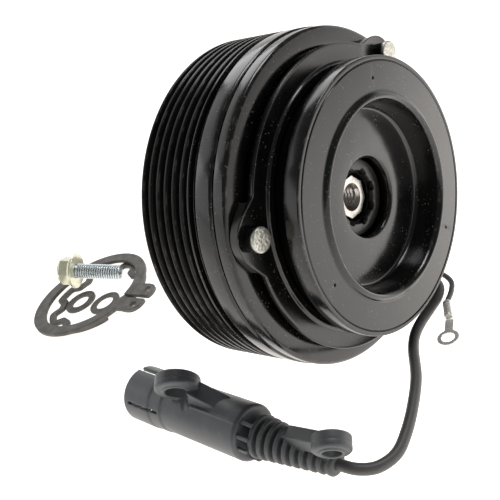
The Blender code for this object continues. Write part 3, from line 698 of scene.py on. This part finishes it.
def make_coil():
    outer, inner, wall, front, back = 44.6, 31.4, 1.8, 32.0, 54.2
    shell = [
        (inner, front), (inner + wall, front), (inner + wall, back - 2.4), (outer - wall, back - 2.4),
        (outer - wall, front), (outer, front), (outer, back, 0.6), (inner, back, 0.5),
    ]
    turned("coil_shell", shell, COAT_DEEP, "stator", ["coil_housing"])
    inner_r, outer_r = inner + wall + 0.6, outer - wall - 0.6
    wound_from, wound_to, strand = 35.6, 51.0, 0.9

    def windings(radius, depth, turn):
        return radius + 0.18 * math.cos(depth * 2 * math.pi / strand), depth

    walls = [(outer_r - 0.2, wound_from + 0.3 * i, 0.0) for i in range(52)]
    profile = [(inner_r, wound_from, 0.0)] + walls + [(inner_r, wound_to, 0.0)]
    bm = lathe(bmesh.new(), profile, 128, windings)
    link("coil_wire", mesh("coil_wire", bm), COPPER, "stator", ["coil_winding"])
    cap = [(inner + wall + 0.3, 32.6), (outer - wall - 0.3, 32.6), (outer - wall - 0.3, 35.2),
           (inner + wall + 0.3, 35.2)]
    turned("coil_potting", cap, RESIN, "stator", ["coil_resin_cap"])
    holes = [circle(2.7, on_circle(SCREW_RING_R, heading)) for heading in (30, 150, 270)]
    loops = [circle(outer, steps=200), circle(inner, steps=200), *holes]
    flange = sheet_curve("coil_flange", loops, 2.2, 0.3)
    link("coil_flange", flange, PLATE, "stator", ["coil_plate"], AXIS, across_axis(55.6))
    pin = [(0, 56.8), (2.0, 56.8), (2.0, 59.3, 0.2), (1.4, 59.9, 0.2), (0, 59.9)]
    turned("coil_pin", pin, STEEL, "stator", ["locating_pin"], 0.1, 48, None, AXIS,
           beside_axis(SCREW_RING_R, 90))


def make_grommet():
    """The rubber block that both leads leave the coil through."""
    low, high = (Vector(corner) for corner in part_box("lead_grommet"))
    body = block_shape((high - low) / MM, Matrix.Translation((low + high) / 2))
    step = body.modifiers.new("soften", "BEVEL")
    step.width = 0.9 * MM
    step.segments = 4
    data = settled(body, "grommet_block")
    for face in data.polygons:
        face.use_smooth = True
    return link("grommet_block", data, RUBBER, "stator", ["lead_grommet"], Vector())


# Connector, boot and leads. Places are in mm from FLOOR, as in the CAD.

MOUTH, SHELL_END, BOOT_END = (-63.0, 90.0, 10.6), (-67.0, 31.2, 10.0), (-67.0, -1.0, 6.0)
EYELET, ARM_EYELET = (-66.2, 60.0, 24.5), (-68.4, -4.2, 17.2)
EYELET_HOLE_R, ARM_HOLE_R = 4.0, 2.9
EYELET_FACING = Vector((-0.83, -0.40, -0.40)).normalized()
ARM_START, ARM_END = Vector((-65.6, 16.0, 11.6)), Vector((-68.2, -1.0, 16.6))
CABLE_ROUTE = (
    (21.5, 59.2, 23.2), (22.0, 59.7, 17.5), (23.4, 60.2, 11.6), (24.8, 58.8, 6.4), (25.6, 54.6, 3.0),
    (25.4, 48.0, 1.9), (25.0, 38.0, 1.9), (24.6, 27.0, 1.9), (24.0, 18.4, 1.9), (22.2, 12.2, 1.9),
    (18.6, 8.4, 1.9), (13.4, 6.7, 1.9), (7.0, 6.6, 1.9), (0.0, 6.6, 1.9), (-6.5, 5.6, 1.9),
    (-13.5, 2.6, 1.9), (-25.0, -4.4, 1.9), (-36.5, -9.2, 1.9), (-47.0, -12.4, 1.9), (-55.5, -13.6, 2.1),
    (-62.4, -11.6, 3.4), (-66.0, -7.2, 4.9), (-67.0, -1.4, 6.0),
)
INSIDE_BOOT = ((-67.0, 6.0, 6.9), (-67.0, 16.0, 8.1), (-67.0, 28.0, 9.6))  # the lead runs on to its terminals
GROUND_ROUTE = (
    (27.5, 59.2, 23.2), (28.4, 60.2, 16.5), (30.0, 60.4, 9.6), (30.9, 57.4, 4.0), (30.9, 51.4, 1.3),
    (30.6, 40.0, 1.1), (30.0, 29.0, 1.1), (29.2, 20.0, 1.1), (27.4, 12.0, 1.1), (23.6, 6.2, 1.1),
    (18.4, 3.6, 1.2), (12.0, 2.0, 1.75),
)
CRIMP_START, CRIMP_END = (11.7, 1.9, 1.75), (4.2, -2.4, 1.75)
RING_TERMINAL = (-4.6, -6.0)


def ring_shape(centre, outer, hole, tall):
    """An eyelet with a raised rim round its hole and a parting line round its side."""
    ahead = Vector(centre) + EYELET_FACING * tall / 2
    behind = Vector(centre) - EYELET_FACING * tall / 2
    profile = [
        (hole, 0, 0.3), (hole + 1.1, 0, 0.3), (hole + 1.3, 0.5, 0.1), (outer - 0.8, 0.5, 0.3),
        (outer, 1.1, 0.5), (outer, 0.5 * tall - 0.25), (outer - 0.35, 0.5 * tall), (outer, 0.5 * tall + 0.25),
        (outer, tall, 0.7), (hole, tall, 0.3),
    ]
    return turned_shape(profile, along(ahead, behind), 0.1)


def eyelet_bore(centre, hole):
    """What keeps an eyelet's hole clear: a cylinder through it."""
    ahead, behind = Vector(centre) + EYELET_FACING * 8, Vector(centre) - EYELET_FACING * 5
    return turned_shape([(0, 0), (hole, 0), (hole, 13), (0, 13)], along(ahead, behind), 0.0)


def make_shell():
    """The barrel with its slotted mouth, its eyelet on a gusset, and the latch rails at its rear."""
    length = (Vector(SHELL_END) - Vector(MOUTH)).length
    place = along(MOUTH, SHELL_END)
    mouth_r, body_r, bore_r, collar, bore_end = 10.2, 9.5, 8.6, 14.0, 20.0
    barrel = turned_shape([
        (bore_r, 0, 0.3), (mouth_r, 0, 0.4), (mouth_r, collar, 0.5), (body_r + 0.35, collar + 1.0, 0.3),
        (body_r + 0.35, collar + 6.5, 0.4), (body_r, collar + 7.4, 0.4), (body_r, length - 0.9, 0.3),
        (body_r - 0.8, length, 0.4), (0, length), (0, bore_end), (bore_r, bore_end, 0.5),
    ], place, 0.3, 128)

    def at(heading, radius, depth):
        """Where something sits on the barrel."""
        about = place @ Matrix.Rotation(math.radians(heading), 4, "Y")
        return about @ Matrix.Translation((radius * MM, depth * MM, 0))

    for heading, radius, depth, size in (
        (100, mouth_r, 5, (5, 14, 1.8)), (250, mouth_r, 5, (5, 14, 1.8)), (-28, mouth_r, 11, (3, 17, 0.9)),
    ):
        barrel = carve(barrel, block_shape(size, at(heading, radius, depth)))
    boss = ring_shape(EYELET, 7.9, EYELET_HOLE_R, 5.8)
    bm = bmesh.new()
    back, low_top = -11.0, -1.6
    prism(bm, [(-3.0, -5.0), (4.4, -5.0), (4.0, 3.6), (-2.2, 3.6)], back, 3.0)
    for vertex in bm.verts:
        if vertex.co.y < (back + 0.1) * MM and vertex.co.z > 0:
            vertex.co.z = low_top * MM
    gusset = placed(bm, Matrix.Translation(Vector((-65.6, 53.0, 20.6)) * MM))
    foot = block_shape((3.6, 12.0, 6.0), Matrix.Translation(Vector((-65.4, 60.0, 19.6)) * MM))
    solids = (gusset, foot, barrel)
    gusset, foot, barrel = (carve(piece, eyelet_bore(EYELET, EYELET_HOLE_R)) for piece in solids)
    ridge = block_shape((0.7, 22.0, 0.7), at(-66, body_r, length - 12))
    data = fused("shell_moulding", [barrel, boss, gusset, foot, ridge], 0.28, 1)
    shell = link("shell_moulding", data, PLASTIC, "stator", ["connector_shell"], FLOOR)
    rails = ((-74, 1.3, 10.0), (-40, 1.3, 10.0), (-8, 1.3, 8.0), (60, 3.0, 6.5))
    latch = [
        block_shape((0.9, long, wide), at(heading, body_r - 1.6, length)) for heading, wide, long in rails
    ]
    data = fused("latch_frame", latch, 0.22, 2)
    return [shell, link("latch_frame", data, PLASTIC, "stator", (), FLOOR)]


def make_boot():
    """A ribbed tapering boot whose arm carries the smaller eyelet."""
    length = (Vector(BOOT_END) - Vector(SHELL_END)).length
    ribs, start_r, end_r, gap = 10, 7.4, 3.9, 1.4
    pitch = (length - gap - 0.6) / ribs
    profile = [(0, gap)]
    for i in range(ribs):
        radius = start_r + (end_r - start_r) * (i + 0.5) / ribs
        core = radius - 2.6 + 1.2 * i / ribs
        at = gap + i * pitch
        profile += [(core, at, 0.1), (core, at + 0.42 * pitch, 0.1), (radius, at + 0.46 * pitch, 0.25),
                    (radius, at + 0.95 * pitch, 0.25)]
    profile += [(end_r - 0.6, length, 0.2), (0, length)]
    sleeve = turned_shape(profile, along(SHELL_END, BOOT_END), 0.2)
    ring = ring_shape(ARM_EYELET, 6.0, ARM_HOLE_R, 5.6)
    reach = (ARM_END - ARM_START).length
    place = along(ARM_START, ARM_END)
    bm = bmesh.new()
    section = [(-2.5, -2.5), (2.5, -2.5), (2.5, 2.4), (1.9, 2.5), (-1.9, 2.5), (-2.5, 2.4)]
    prism(bm, section, -1.0, reach - 1.0)
    arm = placed(bm, place)
    web_place = place @ Matrix.Translation((0, 0.45 * reach * MM, -4 * MM))
    web = block_shape((1.6, reach - 3, 6.0), web_place)
    arm, web = (carve(piece, eyelet_bore(ARM_EYELET, ARM_HOLE_R)) for piece in (arm, web))
    data = fused("boot_moulding", [sleeve, ring, arm, web], 0.24, 1)
    return link("boot_moulding", data, RUBBER, "stator", ["connector_boot"], FLOOR)


def cord_curve(name, route, diameter, node):
    """A round lead along its route, with the point it leaves from and the route's length in metres."""
    points = [FLOOR + point * MM for point in smooth_route(route)]
    data = bpy.data.curves.new(name, "CURVE")
    data.dimensions = "3D"
    data.bevel_depth = diameter / 2 * MM
    data.bevel_resolution = 6
    data.use_fill_caps = True
    spline = data.splines.new("POLY")
    spline.points.add(len(points) - 1)
    for point, place in zip(spline.points, points):
        point.co = (*place, 1)
    spline.use_smooth = True
    piece = link(name, data, CABLE, "stator", [node], Vector())
    return piece, points[0], sum((b - a).length for a, b in zip(points, points[1:]))


def make_terminal():
    """The crimp, pinched in its middle, and the flat eye in front of it."""
    length = (Vector(CRIMP_END) - Vector(CRIMP_START)).length
    pinch_from, pinch_to = 1.6, 5.0

    def crimped(radius, depth, turn):
        pinch = 0
        if pinch_from < depth < pinch_to:
            pinch = 0.25 * max(0, math.sin(math.pi * (depth - pinch_from) / (pinch_to - pinch_from)))
        return radius * (1 - pinch * abs(math.cos(turn)) ** 3), depth

    sleeve = [(0, 0), (1.3, 0), (1.65, 0.5, 0.3), (1.65, length - 0.5, 0.3), (1.4, length), (0, length)]
    place = along(CRIMP_START, CRIMP_END)
    barrel = turned("crimp_sleeve", sleeve, TIN, "stator", ["crimp_barrel"], 0.15, 48, crimped,
                    FLOOR, place)
    outer, hole, thickness, tongue = 3.8, 2.3, 0.8, 1.5
    toward = Vector(CRIMP_END[:2]) - Vector(RING_TERMINAL)
    tongue_end = toward.length - 0.3
    open_turn = math.degrees(math.asin(tongue / outer))
    outline = [(tongue_end, -tongue), (tongue_end, tongue), *arc(outer, open_turn, 360 - open_turn, 48)]
    place = flat_on_floor(*RING_TERMINAL, 0.3, thickness, math.degrees(math.atan2(toward.y, toward.x)))
    plate = sheet_curve("terminal_eye", [outline, circle(hole)], thickness, 0.15)
    eye = link("terminal_eye", plate, TIN, "stator", ["ring_terminal"], FLOOR, place)
    return [barrel, eye]


def make_leads(grommet):
    cable, cable_exit, cable_length = cord_curve("coil_lead", CABLE_ROUTE + INSIDE_BOOT, 3.8, "lead_cable")
    ground, ground_exit, ground_length = cord_curve("earth_lead", GROUND_ROUTE, 2.0, "ground_lead")
    make_boot()
    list(make_shell())
    make_terminal()


# Loose hardware. Places are in mm from FLOOR too.

BIG_RING, BIG_RING_HEADING = (-9.2, 194.0), -88
WAVY_RING = (-8.9, 189.6)
WAVY_ENDS = (-94, 236)
SHIMS = ((-14.0, 198.6, 8.2, 1.2), (-12.1, 180.4, 8.0, 0.9))  # x, y, radius and thickness
SHIM_HOLE_R = 4.6
BOLT_FLANGE, BOLT_TIP = (-4.2, 202.9, 12.7), (5.8, 182.4, 5.3)


def lay_flat(name, loops, x, y, bottom, thickness, heading, node, edge=0.25):
    link(name, sheet_curve(name, loops, thickness, edge), SPRING, "stator", [node], FLOOR,
         flat_on_floor(x, y, bottom, thickness, heading))


def make_external_ring():
    """A ring that is narrower at its gap than opposite, with two plier ears."""
    outer, inner, thinning, slit, hole_at, hole_r, thickness = 31.5, 24.6, 0.9, 1.0, (39.4, 5.6), 1.8, 2.0
    ear = [(43.2, slit), (43.7, 2.0), (43.9, 3.9), (43.6, 5.9), (42.8, 7.6), (41.7, 8.8), (40.2, 9.4),
           (38.0, 9.7), (35.8, 9.6), (33.4, 9.3)]
    base = math.degrees(math.asin(9.6 / outer))
    gap = math.degrees(math.asin(slit / (inner + 2 * thinning)))
    inside = []
    for i in range(161):
        heading = gap + (360 - 2 * gap) * i / 160
        inside.append(on_circle(inner + thinning * (1 + math.cos(math.radians(heading))), heading))
    outline = ear + arc(outer, base, 360 - base, 160) + [(x, -y) for x, y in reversed(ear)] + inside[::-1]
    holes = [circle(hole_r, (hole_at[0], side * hole_at[1]), 40) for side in (1, -1)]
    lay_flat("ring_external", [outline, *holes], *BIG_RING, 2.0, thickness, BIG_RING_HEADING,
             "snap_ring_external", 0.3)


def wavy_radius(heading):
    """The middle of the wavy ring's strip: a circle with five flat-bottomed dips."""
    middle, dip, half, ramp, spacing = 25.2, 4.6, 15.0, 9.0, 48
    dips = [sum(WAVY_ENDS) / 2 + spacing * i for i in (-2, -1, 0, 1, 2)]
    off = min(abs((heading - dip_at + 180) % 360 - 180) for dip_at in dips)
    share = min(max((half - off) / ramp, 0), 1)
    return middle - dip * (0.5 - 0.5 * math.cos(math.pi * share))


def make_wavy_ring():
    half_width, thickness, steps, hole_r = 1.8, 1.7, 330, 1.4
    start, end = WAVY_ENDS
    headings = [start + (end - start) * i / steps for i in range(steps + 1)]
    middle = [Vector(on_circle(wavy_radius(heading), heading)) for heading in headings]
    outside, inside = [], []
    for i, point in enumerate(middle):
        ahead = middle[min(i + 1, steps)] - middle[max(i - 1, 0)]
        side = Vector((ahead.y, -ahead.x)).normalized() * half_width
        outside.append((point + side)[:])
        inside.append((point - side)[:])

    def ear(heading, lean):
        """A plier ear pointing inwards at one end of the ring, and its hole's centre."""
        out = Vector(on_circle(1, heading))
        across = Vector((-out.y, out.x)) * lean
        corners = [(22.6, 6.9), (21.0, 6.2), (19.4, 5.1), (18.4, 3.8), (18.0, 2.2), (18.1, 0.6), (18.7, -0.9),
                   (19.9, -1.9), (21.5, -2.3), (26.6, -1.9)]
        return [(out * r + across * s)[:] for r, s in corners], (out * 21.3 + across * 1.7)[:]

    first, first_hole = ear(start, 1)
    last, last_hole = ear(end, -1)
    hidden = 16  # points of the inside edge that the ears cover
    outline = outside[1:-1] + last[::-1] + inside[hidden:-hidden][::-1] + first
    holes = [circle(hole_r, first_hole, 40), circle(hole_r, last_hole, 40)]
    lay_flat("ring_wavy", [outline, *holes], *WAVY_RING, 0.0, thickness, 0, "snap_ring_wavy")


def make_bolt():
    flange_r, shank_r, corner_r, under, crown, tip = 8.9, 4.0, 7.4, -2.6, -7.6, 1.2
    length = (Vector(BOLT_TIP) - Vector(BOLT_FLANGE)).length
    place = along(BOLT_FLANGE, BOLT_TIP, 12)

    def hexagon(radius, depth, turn):
        """Six sides above the flange, and corners that fall away towards the crown."""
        side = polygon_radius(corner_r * math.cos(math.pi / 6), 6, turn)
        if depth > under:
            return radius, depth
        if radius > corner_r - 0.4:
            return side + radius - corner_r, depth + 0.9 * max(0, side - 6.9)
        return min(radius, side - 0.3), depth

    head = [
        (0, -7.9, 0.2), (3.4, -7.9, 0.3), (3.9, -8.4, 0.2), (6.1, -8.4, 0.4), (corner_r, crown, 0.5),
        (corner_r, under, 0.3), (flange_r - 0.6, -1.6, 0.4), (flange_r, -1.2, 0.3), (flange_r, -0.1, 0.2),
        (0, -0.1),
    ]
    turned("bolt_head", head, ZINC_LIT_HEAD, "stator", ["flange_bolt"], 0.2, 240, hexagon, FLOOR,
           place)
    rows = int((length - 0.4) / THREAD_ROW)
    thread = [(shank_r, 0.1 + i * THREAD_ROW, 0.0) for i in range(rows)]

    def threaded(radius, depth, turn):
        if radius < 0.1:
            return radius, depth
        phase = (depth / THREAD_PITCH - turn / (2 * math.pi)) % 1
        fade = min(1, max(0, depth / 1.5)) * min(1, max(0, (length - depth) / tip))
        taper = 0.7 * max(0, 1 - (length - depth) / tip)
        return shank_r - 0.1 - 0.62 * abs(2 * phase - 1) * fade - taper, depth

    bm = lathe(bmesh.new(), [(0, 0.1, 0.0), *thread, (0, length - 0.1, 0.0)], 96, threaded)
    link("bolt_thread", mesh("bolt_thread", bm, 60), ZINC, "stator", (), FLOOR, place)


def make_hardware():
    make_external_ring()
    make_wavy_ring()
    for name, (x, y, radius, thickness) in zip(("shim_thick", "shim_thin"), SHIMS):
        loops = [circle(radius, steps=96), circle(SHIM_HOLE_R, steps=96)]
        lay_flat(f"{name}_washer", loops, x, y, 0.0, thickness, 0, name, 0.12)
    make_bolt()


def paint_cad_pieces():
    """The pieces that the CAD shows well enough only need paint."""
    paints = {"ball_cage": STEEL, "terminal_holder": PLASTIC, "terminal_1": TIN, "terminal_2": TIN}
    paints.update({f"ball_{i}": STEEL for i in range(1, 10)})
    for name, paint in paints.items():
        bpy.data.objects[name].data.materials[0] = paint


# Camera, floor and light


def aim_camera():
    data = bpy.data.cameras.new("camera")
    data.lens = 57.6
    data.sensor_width = 36
    data.clip_start = 0.01
    camera = bpy.data.objects.new("camera", data)
    bpy.context.scene.collection.objects.link(camera)
    right, up = Vector((0.5633, -0.7237, -0.3987)), Vector((0.615, 0.045, 0.7872))
    turn = Matrix((right, up, right.cross(up))).transposed().to_4x4()
    stand = FLOOR + Vector((-173.9, -142.86, 178.64)) * MM
    camera.matrix_world = Matrix.Translation(stand) @ turn
    bpy.context.scene.camera = camera


def area_light(name, place, target, size, power):
    """A rectangular light, with places and sizes in metres and power in watts."""
    data = bpy.data.lights.new(name, "AREA")
    data.shape = "RECTANGLE"
    data.size, data.size_y = size
    data.energy = power
    light = bpy.data.objects.new(name, data)
    bpy.context.scene.collection.objects.link(light)
    light.matrix_world = (Vector(target) - Vector(place)).to_track_quat("-Z", "Y").to_matrix().to_4x4()
    light.location = place


def light_table():
    """A white table lit from below, with a brighter patch of painted light to the front right of the disc, in
    metres.
    """
    (x, y), (wide, long), painted_pool, rest = (0.1, -0.2), (0.34, 0.3), 1.1, 1.04
    look = Finish("light_table", Roughness=0.9)
    look.shader.inputs["Base Color"].default_value = (0.5, 0.5, 0.5, 1)
    look.shader.inputs["Emission Color"].default_value = (1, 0.95, 0.91, 1)
    scaled = look.vector("DIVIDE", look.vector("SUBTRACT", look.place, (x, y, 0)), (wide, long, 1))
    # Painted light: the table's emission rises to a brighter patch at the front right of the disc.
    inputs = {0: look.length(scaled), 3: rest + painted_pool, 4: rest}
    glow_with_painted_pool = look.node("ShaderNodeMapRange", inputs, interpolation_type="SMOOTHSTEP").outputs[0]
    return look.use(Emission_Strength=glow_with_painted_pool)


def make_sky(low, high):
    """A pale wall all round, up to about 10 degrees above the table, with a dim sky over it."""
    wall_top, sky_from = 0.17, 0.3  # sines of the angle above the table
    world = bpy.data.worlds.new("studio")
    world.use_nodes = True
    tree = world.node_tree
    split = tree.nodes.new("ShaderNodeSeparateXYZ")
    fade = tree.nodes.new("ShaderNodeMapRange")
    fade.interpolation_type = "SMOOTHSTEP"
    for index, value in enumerate((wall_top, sky_from, low, high), 1):
        fade.inputs[index].default_value = value
    background = tree.nodes["Background"]
    background.inputs["Color"].default_value = (1, 0.99, 0.98, 1)
    tree.links.new(tree.nodes.new("ShaderNodeTexCoord").outputs["Generated"], split.inputs[0])
    tree.links.new(split.outputs["Z"], fade.inputs[0])
    tree.links.new(fade.outputs[0], background.inputs["Strength"])
    bpy.context.scene.world = world


def make_studio():
    table_half, below = 6, 0.0002  # metres
    bm = bmesh.new()
    bmesh.ops.create_grid(bm, x_segments=1, y_segments=1, size=table_half)
    table = bpy.data.objects.new("table", mesh("table", bm))
    bpy.context.scene.collection.objects.link(table)
    table.location.z = -below
    table.data.materials.append(light_table())
    make_sky(low=1.02, high=0.13)
    area_light("key", (0.5, -0.3, 1.1), (0.0, -0.1, 0), (0.5, 0.5), 6)
    area_light("back_softbox", (0.55, 0.5, 0.6), (0.0, 0.0, 0.03), (0.5, 0.5), 2.0)
    area_light("left_card", (-0.62, 0.6, 0.5), (0.0, -0.08, 0.07), (1.0, 0.36), 1.15)
    area_light("back_card", (-0.05, 0.8, 0.62), (0.0, -0.08, 0.07), (0.8, 0.6), 1.4)
    bpy.context.scene.view_settings.view_transform = "Standard"


aim_camera()
make_leads(make_grommet())
make_pulley()
make_bearing()
make_hub()
make_armature()
make_coil()
make_hardware()
paint_cad_pieces()
make_studio()
